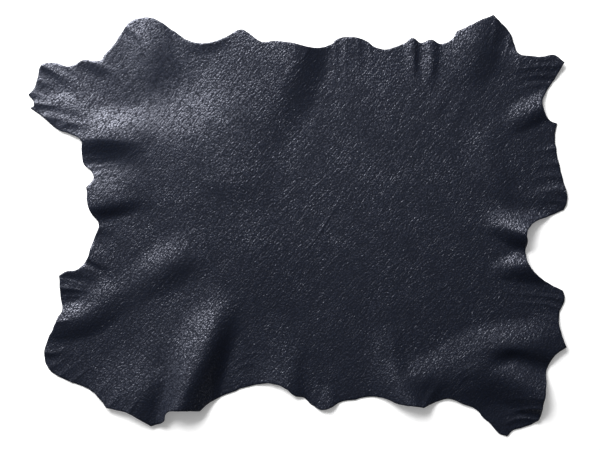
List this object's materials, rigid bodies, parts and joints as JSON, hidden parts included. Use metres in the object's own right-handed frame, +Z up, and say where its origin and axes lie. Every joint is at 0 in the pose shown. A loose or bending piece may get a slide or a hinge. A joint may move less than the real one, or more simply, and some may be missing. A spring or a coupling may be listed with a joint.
{
  "type": "leather hide",
  "caption": "Small whole skin of soft navy pebbled leather with six ragged lobes, lying grain side up in low uneven waves.",
  "frame": {"origin": "middle of the skin's own box, on the surface that its flesh side rests on", "axes": "+X along the skin's longest side, from the two left legs towards the rump; +Y towards the back edge with the shoulder lobes; +Z up, out of the grain side"},
  "size_m": [0.9004, 0.703, 0.0271],
  "materials": {
    "navy_leather": "soft full-grain leather, dyed navy, pebbled by tumbling, with a low satin sheen"
  },
  "bodies": {
    "root": {"hide": "navy_leather"}
  },
  "joints": []
}
